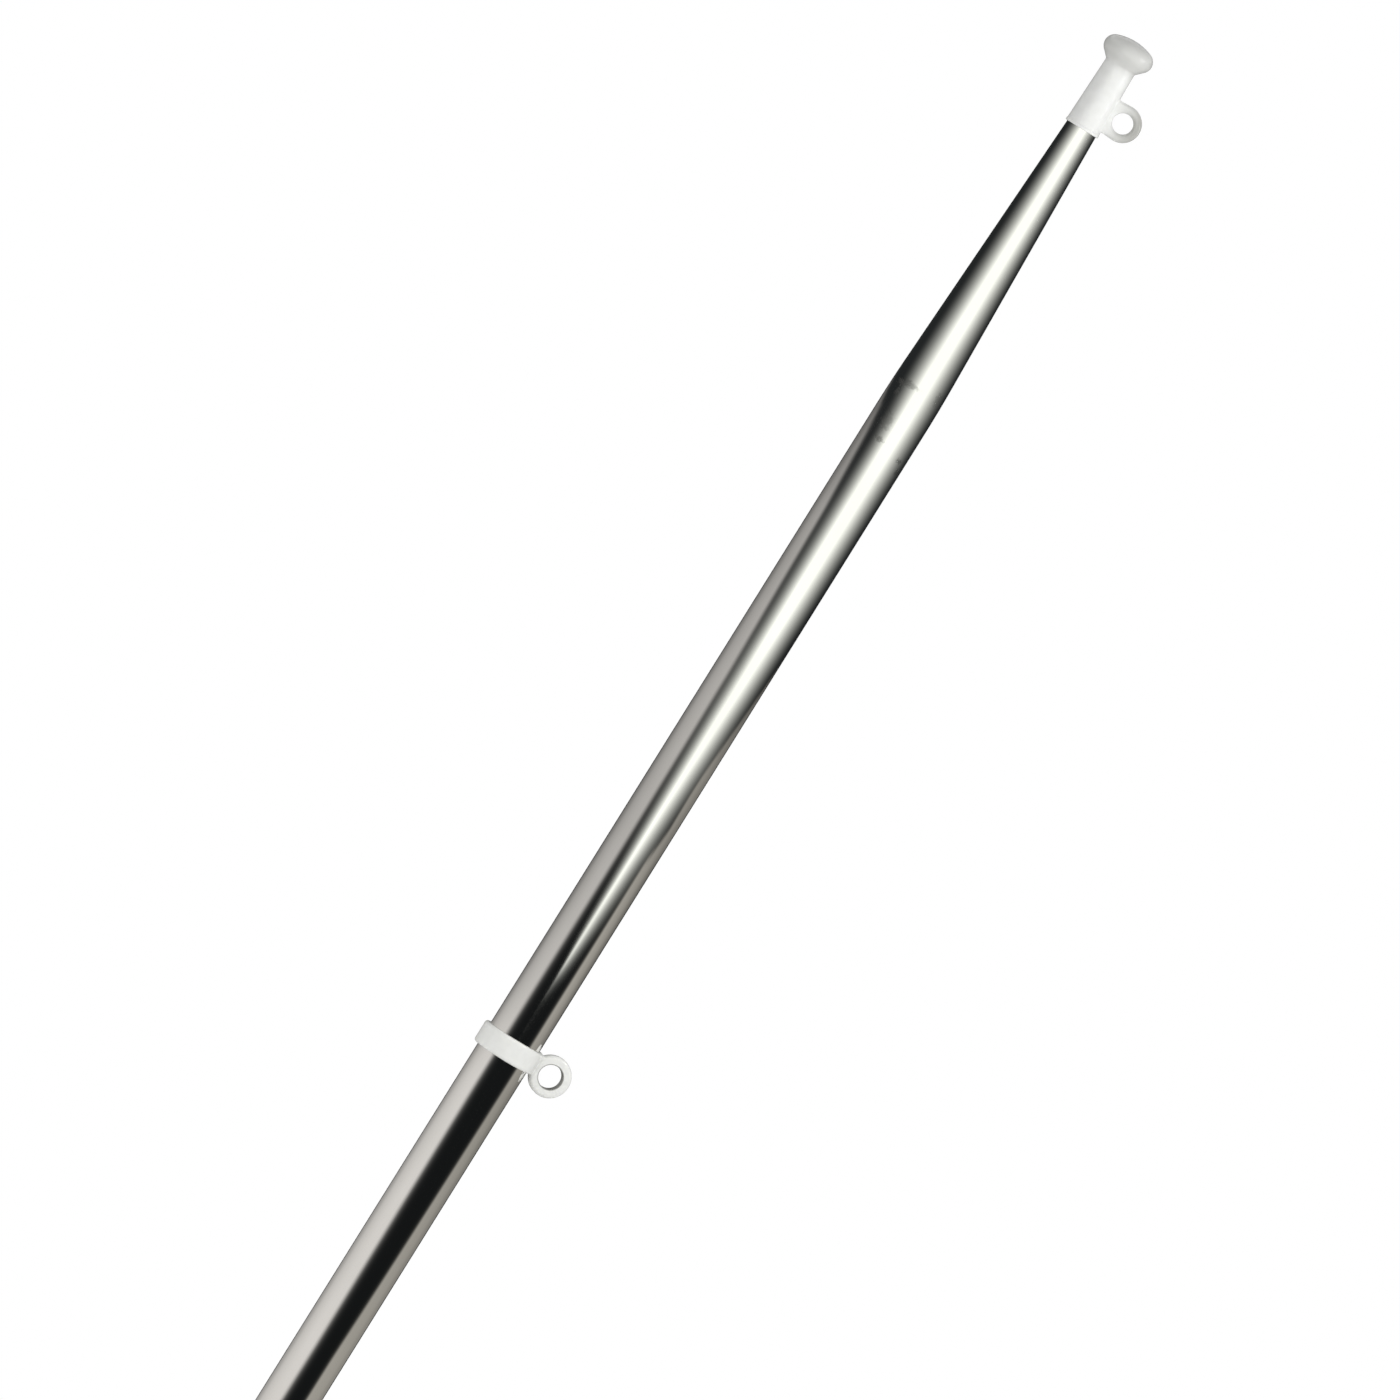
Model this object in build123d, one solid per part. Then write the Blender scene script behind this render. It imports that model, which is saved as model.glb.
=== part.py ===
from build123d import *
import math
import os

# A short stainless flagstaff: a tube drawn down to a slim tip, with a white moulded
# truck on the tip and a white moulded ring that slides on the straight part. Each of
# the two mouldings has one eye for the flag. Millimetres, +Z up along the staff, foot
# at the origin, the truck's eye towards +X.

# Overall
STAFF_HEIGHT = 800.0

# Tube: outside radius, wall, and the taper from the shoulder to the tip
TUBE_R = 12.5
TUBE_WALL = 1.2
SHOULDER_Z = 618.5
SHOULDER_BLEND_R = 600.0
TAPER_DEG = 2.2
TUBE_EDGE = 0.3

# Truck: a mushroom head on a drafted sleeve, heights down from the crown
HEAD_R = 11.8
HEAD_RIM_R = 4.9
HEAD_RIM_DROP = 6.2
HEAD_UNDERSIDE_DEG = 45.0
NECK_R = 7.25
NECK_BLEND_R = 1.4
SOCKET_END_DROP = 14.4
SLEEVE_MOUTH_DROP = 44.7
SLEEVE_MOUTH_R = 8.0
LIP_HEIGHT = 1.4
LIP_STEP = 0.2
LIP_ROUND = 0.4

# Eye of the truck: a flat lug with round edges, straight above and below
TRUCK_EYE_X = 14.1
TRUCK_EYE_DROP = 33.4
TRUCK_EYE_R = 8.4
TRUCK_EYE_HOLE_R = 4.65
TRUCK_EYE_THICK = 4.4
TRUCK_EYE_ROUND = 1.5
TRUCK_EYE_ROOT = 7.6
TRUCK_EYE_BLEND = 0.9

# Sliding ring: a band round the tube with a round eye on its side
RING_Z = 282.8
RING_TURN_DEG = 14.0
BAND_CLEARANCE = 0.05
BAND_R = 14.8
BAND_HEIGHT = 10.4
BAND_ROUND = 1.2
BAND_BORE_EDGE = 0.3
RING_EYE_X = 22.6
RING_EYE_Z = -1.8
RING_EYE_R = 9.6
RING_EYE_HOLE_R = 5.5
RING_EYE_THICK = 5.0
RING_EYE_ROUND = 1.7
RING_EYE_HOLE_ROUND = 0.5
RING_EYE_BLEND = 1.2

taper = math.radians(TAPER_DEG)
tip_z = STAFF_HEIGHT - SOCKET_END_DROP
mouth_z = STAFF_HEIGHT - SLEEVE_MOUTH_DROP


def taper_radius(z):
    """Outside radius of the tapered part of the tube at height z."""
    return TUBE_R - (z - SHOULDER_Z) * math.tan(taper)


def turned(outline):
    """Solid of revolution about Z from a closed outline drawn in the XZ plane."""
    return revolve(Plane.XZ * make_face(outline.edges()), Axis.Z)


def pole_tube():
    """Straight tube with a smooth shoulder and a long straight taper, open at both ends."""
    inner_tip_r = taper_radius(tip_z) - TUBE_WALL / math.cos(taper)
    inner_shoulder_z = SHOULDER_Z - TUBE_WALL * math.tan(taper / 2)
    outside = FilletPolyline(
        (TUBE_R, 0),
        (TUBE_R, SHOULDER_Z),
        (taper_radius(tip_z), tip_z),
        radius=SHOULDER_BLEND_R,
    )
    inside = FilletPolyline(
        (inner_tip_r, tip_z),
        (TUBE_R - TUBE_WALL, inner_shoulder_z),
        (TUBE_R - TUBE_WALL, 0),
        radius=SHOULDER_BLEND_R - TUBE_WALL,
    )
    tip = Line(outside @ 1, inside @ 0)
    foot = Line(inside @ 1, outside @ 0)
    tube = turned(outside + tip + inside + foot)
    rims = tube.edges().filter_by(GeomType.CIRCLE).group_by(Axis.Z)
    return chamfer(rims[0] + rims[-1], TUBE_EDGE)


def truck_outline():
    """Half outline of the truck: crown, rim, underside, neck, sleeve and lip."""
    rim_x = HEAD_R - HEAD_RIM_R
    rim_z = STAFF_HEIGHT - HEAD_RIM_DROP
    drop = HEAD_RIM_DROP
    dome_r = (rim_x**2 + drop**2 - HEAD_RIM_R**2) / (2 * (drop - HEAD_RIM_R))
    dome_z = STAFF_HEIGHT - dome_r
    dome_end = math.degrees(math.atan2(rim_z - dome_z, rim_x))
    under = HEAD_UNDERSIDE_DEG - 90
    crown = CenterArc((0, dome_z), dome_r, 90, dome_end - 90)
    rim = CenterArc((rim_x, rim_z), HEAD_RIM_R, dome_end, under - dome_end)
    run = (rim @ 1).X - NECK_R
    neck_z = (rim @ 1).Y - run * math.tan(math.radians(HEAD_UNDERSIDE_DEG))
    lip_r = SLEEVE_MOUTH_R + LIP_STEP
    lip_top = mouth_z + LIP_HEIGHT
    side = FilletPolyline(
        rim @ 1,
        (NECK_R, neck_z),
        (SLEEVE_MOUTH_R, lip_top),
        radius=NECK_BLEND_R,
    )
    lip = FilletPolyline(
        side @ 1,
        (lip_r, lip_top - LIP_STEP),
        (lip_r, mouth_z),
        (0, mouth_z),
        radius=LIP_ROUND,
    )
    axis = Line(lip @ 1, crown @ 0)
    return crown + rim + side + lip + axis


def truck_eye():
    """Lug of the truck with its hole and rounded edges, lying in the XZ plane."""
    root = Line((0, -TRUCK_EYE_ROOT), (0, TRUCK_EYE_ROOT))
    disc = CenterArc((TRUCK_EYE_X, 0), TRUCK_EYE_R, 0, 360)
    plate = make_hull(root.edges() + disc.edges())
    plate -= Pos(TRUCK_EYE_X, 0) * Circle(TRUCK_EYE_HOLE_R)
    lug = extrude(Plane.XZ * plate, TRUCK_EYE_THICK / 2, both=True)
    faces = lug.faces().sort_by(Axis.Y)
    lug = fillet(faces[0].edges() + faces[-1].edges(), TRUCK_EYE_ROUND)
    return Pos(0, 0, STAFF_HEIGHT - TRUCK_EYE_DROP) * lug


def truck_socket():
    """Blind tapered hole of the truck, the shape of the tube's tip that it sits on."""
    below = mouth_z - 1
    core = Line((0, below), (taper_radius(below), below))
    core += Line((taper_radius(below), below), (taper_radius(tip_z), tip_z))
    core += Line((taper_radius(tip_z), tip_z), (0, tip_z))
    core += Line((0, tip_z), (0, below))
    return turned(core)


def blend(fused, pieces, radius):
    """Fillet only the edges that fusing the pieces has made."""
    made = fused.edges()
    for piece in pieces:
        made = made - piece.edges()
    return fillet(made, radius)


def truck_cap():
    """Mushroom truck on its sleeve, with the eye blended in and the socket cored out."""
    body = turned(truck_outline())
    eye = truck_eye()
    cap = blend(body + eye, (body, eye), TRUCK_EYE_BLEND)
    return cap - truck_socket()


def ring_eye():
    """Round eye of the sliding ring: a flat disc, its rim well rounded, with a hole."""
    disc = Cylinder(RING_EYE_R, RING_EYE_THICK, rotation=(90, 0, 0))
    disc = fillet(disc.edges().filter_by(GeomType.CIRCLE), RING_EYE_ROUND)
    rim = disc.edges()
    disc -= Cylinder(RING_EYE_HOLE_R, RING_EYE_THICK, rotation=(90, 0, 0))
    disc = fillet((disc.edges() - rim).filter_by(GeomType.CIRCLE), RING_EYE_HOLE_ROUND)
    return Pos(RING_EYE_X, 0, RING_EYE_Z) * disc


def flag_ring():
    """Sliding band with its eye blended in, turned a little about the tube."""
    band = Cylinder(BAND_R, BAND_HEIGHT)
    band = fillet(band.edges().filter_by(GeomType.CIRCLE), BAND_ROUND)
    eye = ring_eye()
    ring = blend(band + eye, (band, eye), RING_EYE_BLEND)
    outer = ring.edges()
    ring -= Cylinder(TUBE_R + BAND_CLEARANCE, BAND_HEIGHT)
    ring = chamfer((ring.edges() - outer).filter_by(GeomType.CIRCLE), BAND_BORE_EDGE)
    return Pos(0, 0, RING_Z) * Rot(0, 0, RING_TURN_DEG) * ring


os.makedirs("parts", exist_ok=True)
for name, shape in (
    ("pole_tube", pole_tube()),
    ("truck_cap", truck_cap()),
    ("flag_ring", flag_ring()),
):
    export_step(shape, f"parts/{name}.step")
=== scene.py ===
import math

import bpy
from mathutils import Matrix, Vector

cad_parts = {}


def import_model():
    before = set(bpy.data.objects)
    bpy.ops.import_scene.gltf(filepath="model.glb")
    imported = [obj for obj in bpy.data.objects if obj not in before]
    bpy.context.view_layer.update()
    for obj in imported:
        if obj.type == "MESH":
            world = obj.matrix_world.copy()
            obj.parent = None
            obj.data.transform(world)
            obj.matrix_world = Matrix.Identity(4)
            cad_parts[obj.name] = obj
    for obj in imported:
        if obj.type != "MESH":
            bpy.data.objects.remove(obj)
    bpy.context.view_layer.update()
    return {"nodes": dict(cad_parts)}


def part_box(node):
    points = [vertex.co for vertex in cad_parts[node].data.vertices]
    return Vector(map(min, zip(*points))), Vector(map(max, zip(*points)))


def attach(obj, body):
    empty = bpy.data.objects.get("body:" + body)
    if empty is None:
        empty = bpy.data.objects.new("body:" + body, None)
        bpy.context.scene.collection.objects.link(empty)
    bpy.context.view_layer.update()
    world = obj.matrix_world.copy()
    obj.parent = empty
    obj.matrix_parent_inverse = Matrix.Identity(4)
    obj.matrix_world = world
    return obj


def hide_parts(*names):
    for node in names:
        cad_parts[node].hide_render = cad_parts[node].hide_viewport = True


# The looks of a short stainless flagstaff: a mirror polished tube, a white moulded truck
# and a white sliding ring, on white. Metres, +Z up, the foot at the origin.

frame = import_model()

# Sizes of the tube, as the solid has them
tube_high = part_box("pole_tube")[1]
TUBE_R = tube_high.x
TUBE_TOP = tube_high.z
TUBE_WALL = 0.0012
SHOULDER_Z = 0.6185
SHOULDER_BLEND_R = 0.6
TAPER = math.radians(2.2)
TUBE_EDGE = 0.0003
TUBE_SEGMENTS = 256
BLEND_ROWS = 24

# Truck: crown, underside of the head, and where painted shade lies on its head, crown and lug.
# The head's painted shade reaches lower towards the eye, and the eye's grows from start to end.
TRUCK_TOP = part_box("truck_cap")[1].z
TRUCK_HEAD_LOW = TRUCK_TOP - 0.014
HEAD_SHADE_SLOPE = 0.2
HEAD_SHADE_LOW = TRUCK_HEAD_LOW - 0.002
HEAD_SHADE_HIGH = TRUCK_HEAD_LOW + 0.003
HEAD_PAINTED_SHADE = 0.47
CROWN_DEPTH = 0.004
CROWN_PAINTED_SHADE = 0.16
LUG_SHADE_START = 0.0085
LUG_SHADE_END = 0.0205
LUG_FULL_Z = TRUCK_HEAD_LOW - 0.006
LUG_NONE_Z = TRUCK_HEAD_LOW - 0.004

# Eye of the ring: its turn about the tube, distance from the tube's axis, and sizes. The
# wall of its hole gets painted shade, out to a little past the hole's edge.
RING_TURN = math.radians(14)
RING_EYE_X = 0.0226
RING_EYE_R = 0.0096
RING_HOLE_R = 0.0055
RING_EYE_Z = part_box("flag_ring")[1].z - RING_EYE_R
HOLE_SHADE_FULL_R = RING_HOLE_R + 0.0002
HOLE_SHADE_NONE_R = RING_HOLE_R + 0.0006

# Camera: a long lens in front of the staff, a little above square on, leaning with it
CAMERA_DISTANCE = 6.0
CAMERA_ELEVATION = math.radians(2.5)
CAMERA_ROLL = math.radians(31.94)
CAMERA_AIM = Vector((-0.00938, 0, 0.45595))
VIEW_WIDTH = 0.6112
SENSOR_MM = 36.0

# Studio: a round tent about the staff, seen only in reflections. Azimuths are degrees to
# the right of the camera, and tones are as displayed, from 0 to 1.
TENT_RADIUS = 0.6
TENT_HIGH = 1.0
TENT_ROW = 0.01
TENT_COLUMNS = 180
TONE_POWER = 2.2
# Each row starts with the height where it shows on the straight tube. Dark cloth: tone
DARK_TONES = ((0.35, 0.115), (0.55, 0.17))
DARK_TINT = (0.86, 0.96, 1.0)
# Softbox: start of the glow, the core from left to right, end of the glow, tone of the
# core, and how fast it falls
SOFTBOX_ROWS = (
    (0.3115, 4, 15, 18, 40, 0.0, 2.4),
    (0.3193, 3, 15, 18, 60, 0.36, 2.2),
    (0.3280, 0, 14, 18, 80, 0.78, 2.4),
    (0.3368, -8, 13, 18, 88, 0.92, 2.3),
    (0.3455, -18, 13, 18, 95, 0.97, 2.1),
    (0.3630, -28, 14, 18, 108, 1.03, 1.9),
    (0.3955, -43, 14, 20, 119, 1.08, 1.5),
    (0.4346, -57, 11, 28, 134, 1.06, 1.4),
    (0.4755, -68, 8, 36, 150, 1.06, 1.4),
    (0.5142, -74, 3, 42, 160, 1.06, 1.4),
    (0.5546, -80, 0, 42, 162, 1.06, 1.4),
    (0.5946, -84, -3, 40, 165, 1.06, 1.4),
    (0.6750, -118, -8, 36, 165, 1.06, 1.4),
    (0.7687, -130, -8, 34, 165, 1.06, 1.4),
)
SOFTBOX_TINT = (0.98, 1.0, 0.94)
# Walls: azimuth of the inner edge, tone, and how much darker the far end is
LEFT_WALL_ROWS = (
    (0.1323, -24, 0.85, 0.24),
    (0.2687, -36, 0.845, 0.27),
    (0.3164, -37, 0.755, 0.32),
    (0.3555, -37, 0.73, 0.32),
    (0.3955, -39, 0.70, 0.30),
    (0.4346, -43, 0.71, 0.30),
    (0.4755, -48, 0.70, 0.30),
    (0.5142, -60, 0.68, 0.28),
    (0.5546, -71, 0.66, 0.28),
    (0.5946, -98, 0.57, 0.2),
    (0.6323, -160, 0.50, 0.2),
)
RIGHT_WALL_ROWS = (
    (0.1270, 61.5, 0.635, 0.12),
    (0.1532, 67, 0.63, 0.13),
    (0.1795, 71, 0.625, 0.15),
    (0.2319, 76, 0.617, 0.18),
    (0.2687, 78.5, 0.61, 0.20),
    (0.3164, 78.5, 0.68, 0.36),
    (0.3555, 78, 0.67, 0.36),
    (0.3850, 77, 0.64, 0.33),
    (0.3980, 97, 0.57, 0.15),
    (0.4110, 93, 0.58, 0.15),
    (0.4240, 90, 0.58, 0.15),
    (0.4346, 95, 0.58, 0.15),
    (0.4504, 111, 0.50, 0.05),
    (0.4679, 127, 0.42, 0.0),
    (0.4960, 165, 0.30, 0.0),
)
LEFT_TINT = (1.0, 0.975, 0.945)
RIGHT_TINT = (1.0, 0.96, 0.87)
# The inner edges fade over this many degrees to each side, and then in a faint tail
LEFT_SOFTNESS = 13.0
RIGHT_SOFTNESS = 8.0
WALL_TAIL_FALL = 2.2
# The walls darken from the far start to their end, and a darker strip lies along the end.
# It starts, and is full, at these shares of the way.
WALL_FAR_START = 45.0
WALL_END = 150.0
WALL_STRIP = 0.05
WALL_STRIP_START = 0.6
WALL_STRIP_FULL = 0.82
# The tent's cloth runs on over the floor, where its colours fade into one pale tone
# towards the foot
CLOTH_RADII = (0.45, 0.3, 0.2, 0.15, 0.12, 0.1, 0.08, 0.06, 0.045, 0.03, 0.016)
CLOTH_HEIGHT = 0.0005
CLOTH_LIGHT = 0.55
CLOTH_FADE_START = 0.02
CLOTH_FADE_END = 0.14
# A small bright window to the right glints on the truck. From the front it is too high to
# show in the tube.
GLINT_AZIMUTH = 74.0
GLINT_HEIGHT = 0.882
GLINT_HALF_WIDTH = 12.0
GLINT_HALF_HEIGHT = 0.034
GLINT_LIGHT = 22.0

# Floor: half its side, and the distances from the foot between which it turns white
FLOOR_HALF_SIDE = 40.0
FLOOR_COLOUR = (0.9, 0.9, 0.9)
FLOOR_WHITE_START = 0.03
FLOOR_WHITE_FULL = 0.20

# Light that comes from all sides, where white is 1
AMBIENT = 0.57

# Steel: fine lines and soft clouds along the polish, then scuffs and the bore
LINE_STRETCH = (1.0, 1.0, 0.012)
LINE_SCALE = 2600.0
CLOUD_STRETCH = (1.0, 1.0, 0.25)
CLOUD_SCALE = 90.0
STEEL_COLOUR = (0.94, 0.93, 0.91)
CLOUDED_COLOUR = (0.90, 0.89, 0.865)
LINE_ROUGHNESS = (0.035, 0.06)
CLOUD_ROUGHNESS = 0.03
BORE_COLOUR = (0.42, 0.41, 0.39)
BORE_ROUGHNESS = 0.35
SCUFF_COLOUR = (0.20, 0.20, 0.19)
SCUFF_SHARE = 0.62
SCUFF_ROUGHNESS = 0.22
SCUFF_DEPTH = 6.0
STEEL_BUMP = 0.000004

# Nylon: mottled body, fine grain, and a faint parting line
MOTTLE_SCALE = 260.0
MOTTLE_DARKER = 0.96
GRAIN_SCALE = 1800.0
NYLON_BUMP = 0.00004
NYLON_ROUGHNESS = 0.26
PARTING_CORE = 0.00008
PARTING_EDGE = 0.00030
PARTING_SHARE = 0.12
PARTING_COLOUR = (0.45, 0.45, 0.43)
PARTING_HEIGHT = 1.2

# Scuffs round the shoulder: how fine and how ragged their outlines are, and where they
# start to fade and end, as shares of their half sizes
SCUFF_GRAIN = 700.0
SCUFF_RAGGED = 2.2
SCUFF_CORE = 0.35
SCUFF_END = 1.25
# Each scuff: azimuth on the tube, height, half its width, half its height, strength
SCUFFS = (
    (-41, 0.6206, 0.0030, 0.0020, 0.9),
    (-24, 0.6214, 0.0050, 0.0016, 0.7),
    (-38, 0.6160, 0.0016, 0.0022, 0.7),
    (-21, 0.6025, 0.0030, 0.0045, 0.6),
    (-16, 0.5942, 0.0022, 0.0014, 1.0),
    (50, 0.6220, 0.0022, 0.0036, 0.5),
    (47, 0.5903, 0.0020, 0.0013, 0.95),
    (61, 0.5856, 0.0016, 0.0020, 0.8),
    (70, 0.6046, 0.0010, 0.0026, 0.6),
    (150, 0.6180, 0.0060, 0.0020, 0.8),
    (205, 0.5950, 0.0026, 0.0040, 0.7),
)


def principled(name):
    """New node material: its tree and its Principled shader."""
    material = bpy.data.materials.new(name)
    material.use_nodes = True
    tree = material.node_tree
    return material, tree, tree.nodes["Principled BSDF"]


def link_or_set(tree, socket, value):
    """Feed a socket from another socket or set its number."""
    if hasattr(value, "is_output"):
        tree.links.new(value, socket)
    else:
        socket.default_value = value


def math_node(tree, operation, a, b=None, c=None):
    """A Math node with numbers or sockets as inputs; returns its output socket."""
    node = tree.nodes.new("ShaderNodeMath")
    node.operation = operation
    for socket, value in zip(node.inputs, (a, b, c)):
        if value is not None:
            link_or_set(tree, socket, value)
    return node.outputs[0]


def map_range(tree, value, low, high, to_low, to_high, smooth=False):
    """A clamped Map Range node; returns its output socket."""
    node = tree.nodes.new("ShaderNodeMapRange")
    if smooth:
        node.interpolation_type = "SMOOTHSTEP"
    for socket, number in zip(node.inputs, (value, low, high, to_low, to_high)):
        link_or_set(tree, socket, number)
    return node.outputs[0]


def seen_directly(tree):
    """1 for rays from the camera, in reflections and through glass, and 0 for others."""
    path = tree.nodes.new("ShaderNodeLightPath")
    seen = math_node(tree, "MAXIMUM", path.outputs["Is Camera Ray"], path.outputs["Is Glossy Ray"])
    return math_node(tree, "MAXIMUM", seen, path.outputs["Is Transmission Ray"])


def noise(tree, vector, scale, detail):
    """Noise over a vector socket, from 0 to 1 and mostly between 0.3 and 0.7."""
    node = tree.nodes.new("ShaderNodeTexNoise")
    node.inputs["Scale"].default_value = scale
    node.inputs["Detail"].default_value = detail
    tree.links.new(vector, node.inputs["Vector"])
    return node.outputs["Fac"]


def bump(tree, shader, height, distance, strength):
    """Bump the shader's normal by a height socket over a distance in metres."""
    node = tree.nodes.new("ShaderNodeBump")
    node.inputs["Strength"].default_value = strength
    node.inputs["Distance"].default_value = distance
    tree.links.new(height, node.inputs["Height"])
    tree.links.new(node.outputs[0], shader.inputs["Normal"])


def mix_colours(tree, share, low, high):
    """A colour between two, by a share from a socket."""
    node = tree.nodes.new("ShaderNodeMix")
    node.data_type = "RGBA"
    tree.links.new(share, node.inputs["Factor"])
    for name, colour in (("A", low), ("B", high)):
        socket = [s for s in node.inputs if s.name == name and s.type == "RGBA"][0]
        value = colour if hasattr(colour, "is_output") else (*colour, 1.0)
        link_or_set(tree, socket, value)
    return [s for s in node.outputs if s.type == "RGBA"][0]


def place_nodes(tree):
    """Place on the object: the vector, and x, y and z in metres."""
    place = tree.nodes.new("ShaderNodeTexCoord").outputs["Object"]
    split = tree.nodes.new("ShaderNodeSeparateXYZ")
    tree.links.new(place, split.inputs[0])
    return place, *split.outputs


def stretched(tree, place, scale):
    """The place scaled apart along x, y and z."""
    node = tree.nodes.new("ShaderNodeVectorMath")
    node.operation = "MULTIPLY"
    node.inputs[1].default_value = scale
    tree.links.new(place, node.inputs[0])
    return node.outputs[0]


def scuff_mask(tree, place, x, y, z):
    """Patchy scuffs on the tube's wall, from 0 to 1."""
    ragged = noise(tree, place, SCUFF_GRAIN, 5.0)
    ragged = math_node(tree, "MULTIPLY_ADD", ragged, SCUFF_RAGGED, -SCUFF_RAGGED / 2)
    total = None
    for turn, height, half_width, half_height, strength in SCUFFS:
        east = math.sin(math.radians(turn))
        north = -math.cos(math.radians(turn))
        across = math_node(tree, "MULTIPLY", x, north)
        across = math_node(tree, "MULTIPLY_ADD", y, -east, across)
        facing = math_node(tree, "MULTIPLY", x, east)
        facing = math_node(tree, "MULTIPLY_ADD", y, north, facing)
        along = math_node(tree, "SUBTRACT", z, height)
        across = math_node(tree, "DIVIDE", across, half_width)
        along = math_node(tree, "DIVIDE", along, half_height)
        far = math_node(tree, "MULTIPLY", across, across)
        far = math_node(tree, "MULTIPLY_ADD", along, along, far)
        far = math_node(tree, "SQRT", far)
        far = math_node(tree, "ADD", far, ragged)
        patch = map_range(tree, far, SCUFF_CORE, SCUFF_END, strength, 0.0, smooth=True)
        front = math_node(tree, "GREATER_THAN", facing, 0.0)
        patch = math_node(tree, "MULTIPLY", patch, front)
        total = patch if total is None else math_node(tree, "MAXIMUM", total, patch)
    return total


def bore_mask(tree, x, y, z):
    """The inside wall of the tube, from 0 to 1, by its depth below the outside."""
    across = math_node(tree, "MULTIPLY_ADD", x, x, math_node(tree, "MULTIPLY", y, y))
    radius = math_node(tree, "SQRT", across)
    tip_drop = (TUBE_TOP - SHOULDER_Z) * math.tan(TAPER)
    drop = map_range(tree, z, SHOULDER_Z, TUBE_TOP, 0.0, tip_drop)
    depth = math_node(tree, "SUBTRACT", TUBE_R, math_node(tree, "ADD", radius, drop))
    return map_range(tree, depth, 0.5 * TUBE_WALL, 0.9 * TUBE_WALL, 0.0, 1.0)


def steel():
    """Mirror polished stainless tube: faint lines along it, scuffs, and a dull inside."""
    material, tree, shader = principled("polished_steel")
    place, x, y, z = place_nodes(tree)
    shader.inputs["Metallic"].default_value = 1.0

    lines = noise(tree, stretched(tree, place, LINE_STRETCH), LINE_SCALE, 3.0)
    clouds = noise(tree, stretched(tree, place, CLOUD_STRETCH), CLOUD_SCALE, 3.0)
    scuffs = scuff_mask(tree, place, x, y, z)
    bore = bore_mask(tree, x, y, z)

    rough = map_range(tree, lines, 0.3, 0.7, *LINE_ROUGHNESS)
    dull = map_range(tree, clouds, 0.35, 0.7, 0.0, CLOUD_ROUGHNESS)
    rough = math_node(tree, "ADD", rough, dull)
    rough = math_node(tree, "MULTIPLY_ADD", scuffs, SCUFF_ROUGHNESS, rough)
    rough = math_node(tree, "MULTIPLY_ADD", bore, BORE_ROUGHNESS, rough)
    tree.links.new(rough, shader.inputs["Roughness"])

    clouded = map_range(tree, clouds, 0.3, 0.7, 0.0, 1.0)
    colour = mix_colours(tree, clouded, STEEL_COLOUR, CLOUDED_COLOUR)
    scuffed = math_node(tree, "MULTIPLY", scuffs, SCUFF_SHARE)
    colour = mix_colours(tree, scuffed, colour, SCUFF_COLOUR)
    colour = mix_colours(tree, bore, colour, BORE_COLOUR)
    tree.links.new(colour, shader.inputs["Base Color"])

    dents = math_node(tree, "MULTIPLY_ADD", scuffs, -SCUFF_DEPTH, lines)
    bump(tree, shader, dents, STEEL_BUMP, 0.5)
    return material


def nylon(name, colour, painted_shade, painted_shade_mask, turn):
    """Milky moulded nylon: fine grain, painted shade on some parts, and a parting line in the
    eye's plane.
    """
    material, tree, shader = principled(name)
    place, x, y, z = place_nodes(tree)
    mottle = map_range(tree, noise(tree, place, MOTTLE_SCALE, 3.0), 0.35, 0.65, 0.0, 1.0)
    body = mix_colours(tree, mottle, tuple(MOTTLE_DARKER * c for c in colour), colour)
    body = mix_colours(tree, painted_shade_mask(tree, x, y, z), body, painted_shade)
    across = math_node(tree, "MULTIPLY", x, -math.sin(turn))
    across = math_node(tree, "MULTIPLY_ADD", y, math.cos(turn), across)
    across = math_node(tree, "ABSOLUTE", across)
    line = map_range(tree, across, PARTING_CORE, PARTING_EDGE, 1.0, 0.0)
    faint = math_node(tree, "MULTIPLY", line, PARTING_SHARE)
    body = mix_colours(tree, faint, body, PARTING_COLOUR)
    tree.links.new(body, shader.inputs["Base Color"])
    shader.inputs["Roughness"].default_value = NYLON_ROUGHNESS
    shader.inputs["Subsurface Weight"].default_value = 0.2
    shader.inputs["Subsurface Radius"].default_value = (1.0, 1.0, 0.9)
    shader.inputs["Subsurface Scale"].default_value = 0.0012
    grain = noise(tree, place, GRAIN_SCALE, 3.0)
    raised = math_node(tree, "MULTIPLY_ADD", line, PARTING_HEIGHT, grain)
    bump(tree, shader, raised, NYLON_BUMP, 0.35)
    return material


def truck_painted_shade(tree, x, y, z):
    """Painted shade on the truck: its head, darker at the crown, and the lug towards its far edge.
    """
    sloping = math_node(tree, "MULTIPLY_ADD", x, HEAD_SHADE_SLOPE, z)
    head = map_range(tree, sloping, HEAD_SHADE_LOW, HEAD_SHADE_HIGH, 0.0, HEAD_PAINTED_SHADE, smooth=True)
    crown = map_range(tree, z, TRUCK_TOP - CROWN_DEPTH, TRUCK_TOP, 0.0, CROWN_PAINTED_SHADE)
    head = math_node(tree, "ADD", head, crown)
    lug = map_range(tree, x, LUG_SHADE_START, LUG_SHADE_END, 0.0, 1.0)
    low = map_range(tree, z, LUG_FULL_Z, LUG_NONE_Z, 1.0, 0.0)
    return math_node(tree, "MAXIMUM", head, math_node(tree, "MULTIPLY", lug, low))


def ring_painted_shade(tree, x, y, z):
    """Painted shade on the wall of the ring's eye, much darker than its faces."""
    out = math_node(tree, "MULTIPLY_ADD", x, math.cos(RING_TURN), -RING_EYE_X)
    out = math_node(tree, "MULTIPLY_ADD", y, math.sin(RING_TURN), out)
    rise = math_node(tree, "SUBTRACT", z, RING_EYE_Z)
    far = math_node(tree, "MULTIPLY", out, out)
    far = math_node(tree, "SQRT", math_node(tree, "MULTIPLY_ADD", rise, rise, far))
    return map_range(tree, far, HOLE_SHADE_FULL_R, HOLE_SHADE_NONE_R, 1.0, 0.0)


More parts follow.
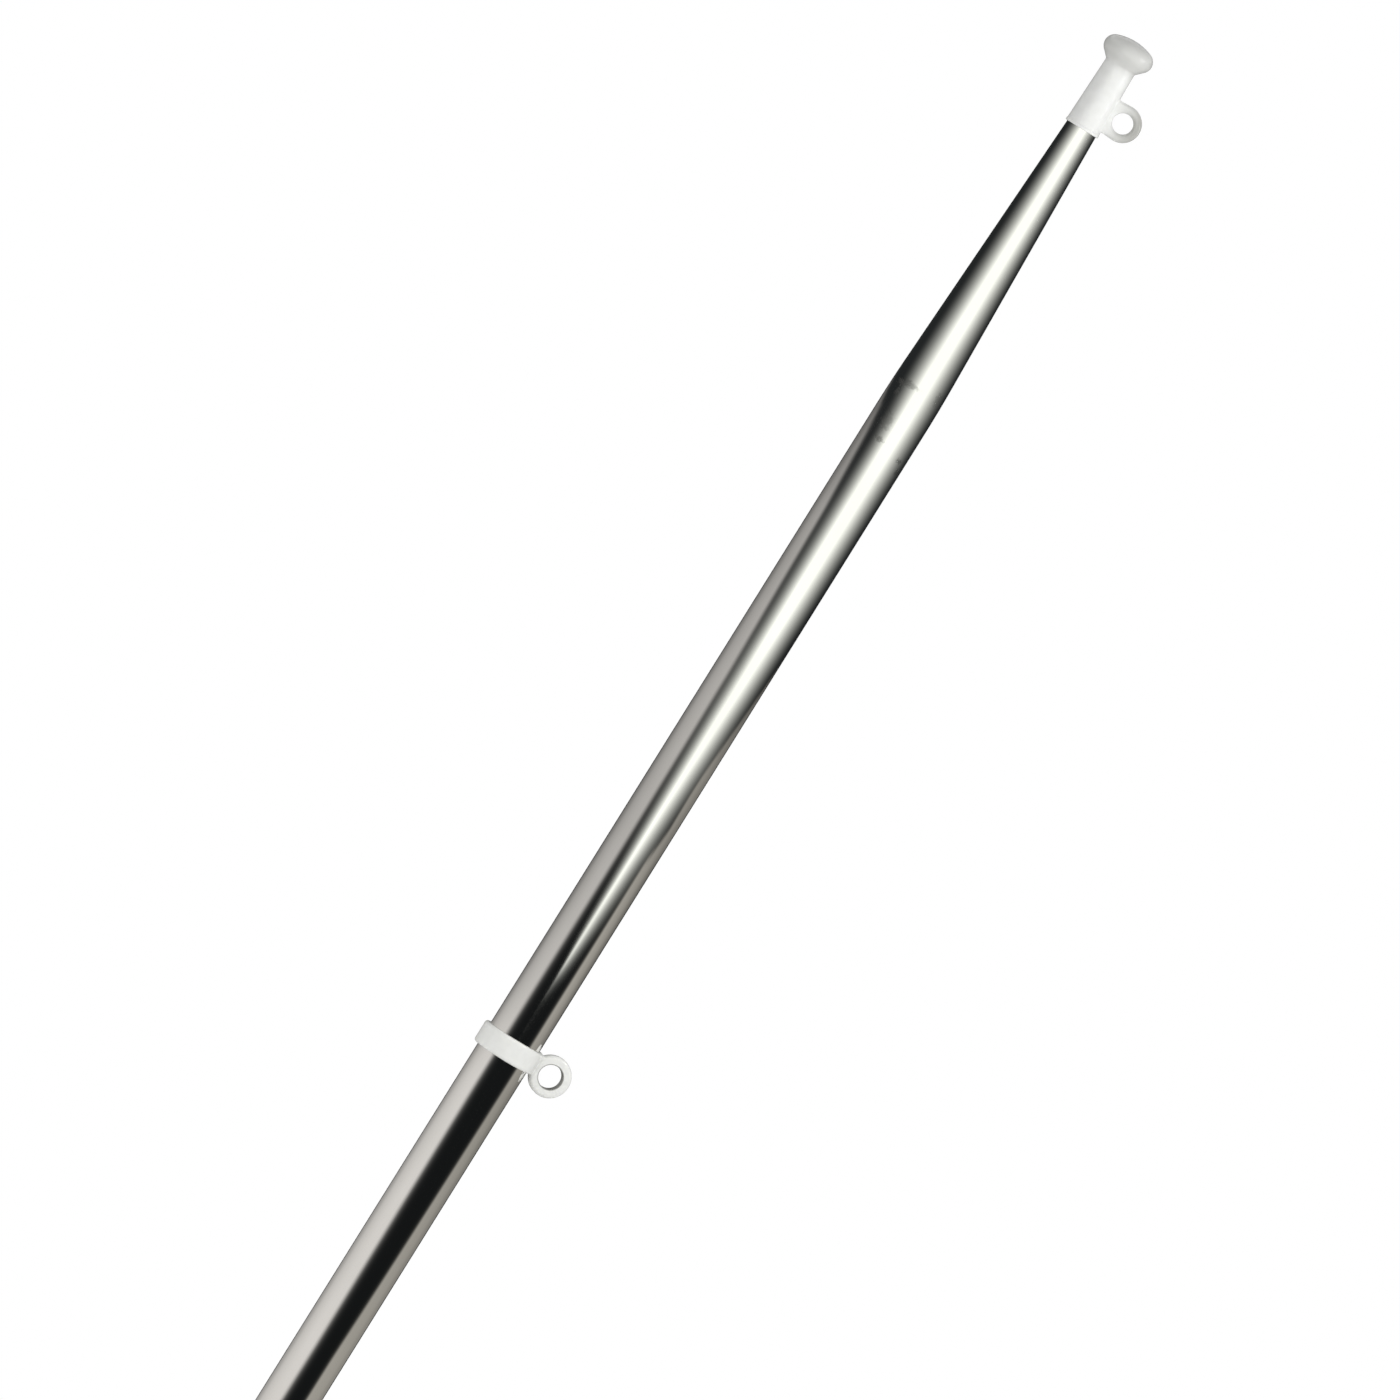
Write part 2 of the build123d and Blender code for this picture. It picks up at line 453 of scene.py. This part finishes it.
def mesh_object(name, vertices, faces):
    """Object with a mesh from plain lists, smooth shaded."""
    mesh = bpy.data.meshes.new(name)
    mesh.from_pydata(vertices, [], faces)
    mesh.update()
    mesh.shade_smooth()
    made = bpy.data.objects.new(name, mesh)
    bpy.context.scene.collection.objects.link(made)
    return made


def bend(corner_z, corner_r, radius):
    """Points of the shoulder's arc from the straight wall into the taper."""
    low = corner_z - radius * math.tan(TAPER / 2)
    points = []
    for i in range(BLEND_ROWS + 1):
        angle = TAPER * i / BLEND_ROWS
        inwards = radius * (1 - math.cos(angle))
        points.append((corner_r - inwards, low + radius * math.sin(angle)))
    return points


def tube_profile():
    """Closed half outline of the tube: outside up, tip, inside down, foot."""
    tip_r = TUBE_R - (TUBE_TOP - SHOULDER_Z) * math.tan(TAPER)
    inner_tip_r = tip_r - TUBE_WALL / math.cos(TAPER)
    inner_z = SHOULDER_Z - TUBE_WALL * math.tan(TAPER / 2)
    outside = [(TUBE_R, TUBE_EDGE)]
    outside += bend(SHOULDER_Z, TUBE_R, SHOULDER_BLEND_R)
    outside += [(tip_r + TUBE_EDGE * math.tan(TAPER), TUBE_TOP - TUBE_EDGE)]
    inside = [(inner_tip_r, TUBE_TOP - TUBE_EDGE)]
    inside += bend(inner_z, TUBE_R - TUBE_WALL, SHOULDER_BLEND_R - TUBE_WALL)[::-1]
    inside += [(TUBE_R - TUBE_WALL, TUBE_EDGE)]
    tip = [(tip_r - TUBE_EDGE, TUBE_TOP), (inner_tip_r + TUBE_EDGE, TUBE_TOP)]
    foot = [(TUBE_R - TUBE_WALL + TUBE_EDGE, 0.0), (TUBE_R - TUBE_EDGE, 0.0)]
    return outside, tip, inside, foot


def tube_skin():
    """The tube turned from its outline, with the four cut rims kept sharp."""
    stretches = tube_profile()
    profile = [point for stretch in stretches for point in stretch]
    sharp_rows = set()
    count = 0
    for stretch in stretches:
        sharp_rows.update((count, count + len(stretch) - 1))
        count += len(stretch)
    vertices = []
    for radius, height in profile:
        for k in range(TUBE_SEGMENTS):
            turn = 2 * math.pi * k / TUBE_SEGMENTS
            vertices.append((radius * math.cos(turn), radius * math.sin(turn), height))
    faces = []
    for row in range(len(profile)):
        above = (row + 1) % len(profile)
        for k in range(TUBE_SEGMENTS):
            nxt = (k + 1) % TUBE_SEGMENTS
            faces.append((
                row * TUBE_SEGMENTS + k,
                row * TUBE_SEGMENTS + nxt,
                above * TUBE_SEGMENTS + nxt,
                above * TUBE_SEGMENTS + k,
            ))
    tube = mesh_object("tube_skin", vertices, faces)
    for edge in tube.data.edges:
        row, other_row = (corner // TUBE_SEGMENTS for corner in edge.vertices)
        if row == other_row and row in sharp_rows:
            edge.use_edge_sharp = True
    tube.data.materials.append(steel())
    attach(tube, "staff")
    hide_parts("pole_tube")


def between(rows, height):
    """Values of the rows at a height, straight between rows and level past the ends."""
    if height <= rows[0][0]:
        return rows[0][1:]
    for below, above in zip(rows, rows[1:]):
        if height <= above[0]:
            share = (height - below[0]) / (above[0] - below[0])
            return tuple(a + (b - a) * share for a, b in zip(below[1:], above[1:]))
    return rows[-1][1:]


def ease(value, low, high):
    """0 below low, 1 above high, smooth between."""
    share = min(max((value - low) / (high - low), 0.0), 1.0)
    return share * share * (3 - 2 * share)


def softbox_tone(azimuth, height):
    """Tone of the tall tapering softbox: a white core with a long soft fall to each side."""
    start, core_left, core_right, end, core, fall = between(SOFTBOX_ROWS, height)
    if azimuth < core_left:
        share = (azimuth - start) / (core_left - start)
    else:
        share = (end - azimuth) / (end - core_right)
    return core * min(max(share, 0.0), 1.0) ** fall


def wall(rows, side, softness, azimuth, height):
    """Cover and tone of a side wall: a soft inner edge with a tail, and a darker far end."""
    edge, tone, fall = between(rows, height)
    out = side * azimuth
    inner = side * edge
    cover = ease(out, inner - softness, inner + softness)
    if out < inner:
        cover = max(cover, 0.5 * math.exp(WALL_TAIL_FALL * (out - inner) / softness))
    cover *= 1 - ease(out, WALL_END, WALL_END + softness)
    far = max(0.0, (out - WALL_FAR_START) / (WALL_END - WALL_FAR_START))
    darker = fall * far * far + WALL_STRIP * ease(far, WALL_STRIP_START, WALL_STRIP_FULL)
    return cover, tone * max(0.0, 1 - darker)


def tent_light(azimuth, height):
    """Linear colour of the tent: dark cloth, the softbox on it, and a wall to each side."""
    dark = between(DARK_TONES, height)[0] ** TONE_POWER
    glow = softbox_tone(azimuth, height) ** TONE_POWER
    light = [dark * d + glow * s for d, s in zip(DARK_TINT, SOFTBOX_TINT)]
    sides = (
        (LEFT_WALL_ROWS, -1, LEFT_SOFTNESS, LEFT_TINT),
        (RIGHT_WALL_ROWS, 1, RIGHT_SOFTNESS, RIGHT_TINT),
    )
    for rows, side, softness, tint in sides:
        cover, tone = wall(rows, side, softness, azimuth, height)
        level = tone ** TONE_POWER
        light = [c + (level * t - c) * cover for c, t in zip(light, tint)]
    across = (azimuth - GLINT_AZIMUTH) / GLINT_HALF_WIDTH
    rise = (height - GLINT_HEIGHT) / GLINT_HALF_HEIGHT
    glint = GLINT_LIGHT * math.exp(-across * across - rise * rise)
    return [c + glint for c in light]


def tent():
    """Round tent and floor cloth that glow by a colour attribute, seen only in reflections."""
    wall_rows = round(TENT_HIGH / TENT_ROW)
    rings = [(TENT_RADIUS, TENT_HIGH - row * TENT_ROW) for row in range(wall_rows)]
    rings += [(radius, CLOTH_HEIGHT) for radius in (TENT_RADIUS, *CLOTH_RADII)]
    reach = TENT_RADIUS / CAMERA_DISTANCE
    eye_z = CAMERA_AIM.z + CAMERA_DISTANCE * math.sin(CAMERA_ELEVATION)
    vertices, faces, colours = [], [], []
    for radius, height in rings:
        shown = (height + reach * eye_z) / (1 + reach)
        share = ease(radius, CLOTH_FADE_START, CLOTH_FADE_END)
        for column in range(TENT_COLUMNS):
            azimuth = 360 * column / TENT_COLUMNS - 180
            turn = math.radians(azimuth)
            vertices.append((radius * math.sin(turn), -radius * math.cos(turn), height))
            light = tent_light(azimuth, shown)
            colours += (*(CLOTH_LIGHT + (c - CLOTH_LIGHT) * share for c in light), 1.0)
    for row in range(len(rings) - 1):
        for column in range(TENT_COLUMNS):
            here = row * TENT_COLUMNS + column
            beside = row * TENT_COLUMNS + (column + 1) % TENT_COLUMNS
            faces.append((here, beside, beside + TENT_COLUMNS, here + TENT_COLUMNS))
    made = mesh_object("tent", vertices, faces)
    layer = made.data.color_attributes.new("light", "FLOAT_COLOR", "POINT")
    layer.data.foreach_set("color", colours)
    material = bpy.data.materials.new("tent")
    material.use_nodes = True
    tree = material.node_tree
    tree.nodes.clear()
    emission = tree.nodes.new("ShaderNodeEmission")
    attribute = tree.nodes.new("ShaderNodeAttribute")
    attribute.attribute_name = "light"
    tree.links.new(attribute.outputs["Color"], emission.inputs["Color"])
    output = tree.nodes.new("ShaderNodeOutputMaterial")
    tree.links.new(emission.outputs[0], output.inputs["Surface"])
    made.data.materials.append(material)
    made.visible_camera = False
    made.visible_diffuse = False
    made.visible_transmission = False
    made.visible_shadow = False


def floor():
    """Pale floor at the foot; away from the staff it is as white as the backdrop."""
    half = FLOOR_HALF_SIDE
    made = mesh_object(
        "floor",
        [(-half, -half, 0), (half, -half, 0), (half, half, 0), (-half, half, 0)],
        [(0, 1, 2, 3)],
    )
    material, tree, shader = principled("floor")
    shader.inputs["Base Color"].default_value = (*FLOOR_COLOUR, 1.0)
    shader.inputs["Roughness"].default_value = 0.9
    emission = tree.nodes.new("ShaderNodeEmission")
    seen = seen_directly(tree)
    place = tree.nodes.new("ShaderNodeTexCoord")
    length = tree.nodes.new("ShaderNodeVectorMath")
    length.operation = "LENGTH"
    tree.links.new(place.outputs["Object"], length.inputs[0])
    away = length.outputs["Value"]
    away = map_range(tree, away, FLOOR_WHITE_START, FLOOR_WHITE_FULL, 0.0, 1.0, smooth=True)
    mix = tree.nodes.new("ShaderNodeMixShader")
    tree.links.new(math_node(tree, "MULTIPLY", seen, away), mix.inputs["Fac"])
    tree.links.new(shader.outputs[0], mix.inputs[1])
    tree.links.new(emission.outputs[0], mix.inputs[2])
    tree.links.new(mix.outputs[0], tree.nodes["Material Output"].inputs["Surface"])
    made.data.materials.append(material)


def world():
    """Even ambient light, and plain white to the camera and in reflections."""
    made = bpy.data.worlds.new("studio")
    bpy.context.scene.world = made
    made.use_nodes = True
    tree = made.node_tree
    background = tree.nodes["Background"]
    strength = map_range(tree, seen_directly(tree), 0.0, 1.0, AMBIENT, 1.0)
    tree.links.new(strength, background.inputs["Strength"])
    background.inputs["Color"].default_value = (1.0, 1.0, 1.0, 1.0)


def lamp(name, place, target, size, watts):
    """Square area lamp aimed at a point."""
    light = bpy.data.lights.new(name, "AREA")
    light.size = size
    light.energy = watts
    made = bpy.data.objects.new(name, light)
    made.location = place
    aim = Vector(target) - Vector(place)
    made.rotation_euler = aim.to_track_quat("-Z", "Y").to_euler()
    made.visible_glossy = False
    bpy.context.scene.collection.objects.link(made)


def camera():
    """Long lens in front of the staff, rolled so that the staff leans to the right."""
    right = Vector((1, 0, 0))
    up = Vector((0, math.sin(CAMERA_ELEVATION), math.cos(CAMERA_ELEVATION)))
    back = Vector((0, -math.cos(CAMERA_ELEVATION), math.sin(CAMERA_ELEVATION)))
    across = math.cos(CAMERA_ROLL) * right + math.sin(CAMERA_ROLL) * up
    upright = -math.sin(CAMERA_ROLL) * right + math.cos(CAMERA_ROLL) * up
    data = bpy.data.cameras.new("camera")
    data.sensor_width = SENSOR_MM
    data.lens = SENSOR_MM * CAMERA_DISTANCE / VIEW_WIDTH
    data.clip_start = 0.1
    data.clip_end = 100.0
    made = bpy.data.objects.new("camera", data)
    pose = Matrix((across, upright, back)).transposed().to_4x4()
    pose.translation = CAMERA_AIM + CAMERA_DISTANCE * back
    made.matrix_world = pose
    bpy.context.scene.collection.objects.link(made)
    bpy.context.scene.camera = made


camera()
tube_skin()
# Node, colour, colour of its painted shade, where that lies, and the turn of its eye
looks = (
    # The truck's painted shade greys its head, crown and lug; the ring's darkens the wall of its
    # eye.
    ("truck_cap", (0.82, 0.825, 0.805), (0.42, 0.42, 0.395), truck_painted_shade, 0.0),
    ("flag_ring", (0.87, 0.875, 0.845), (0.30, 0.30, 0.28), ring_painted_shade, RING_TURN),
)
for node, body_colour, painted_shade, painted_shade_mask, turn in looks:
    part = frame["nodes"][node]
    part.data.materials.clear()
    part.data.materials.append(nylon(node + "_nylon", body_colour, painted_shade, painted_shade_mask, turn))
tent()
floor()
world()
# Lamps: place, aim, side of the square, and watts
lamp("key", (0.606, -0.35, 0.74), (0, 0, 0.74), 0.3, 2.6)
lamp("fill", (-0.5, -1.4, 0.5), (0, 0, 0.45), 1.0, 5.2)
lamp("back", (-0.3, 1.3, 0.9), (0, 0, 0.5), 1.0, 4.0)
bpy.context.scene.view_settings.view_transform = "Standard"
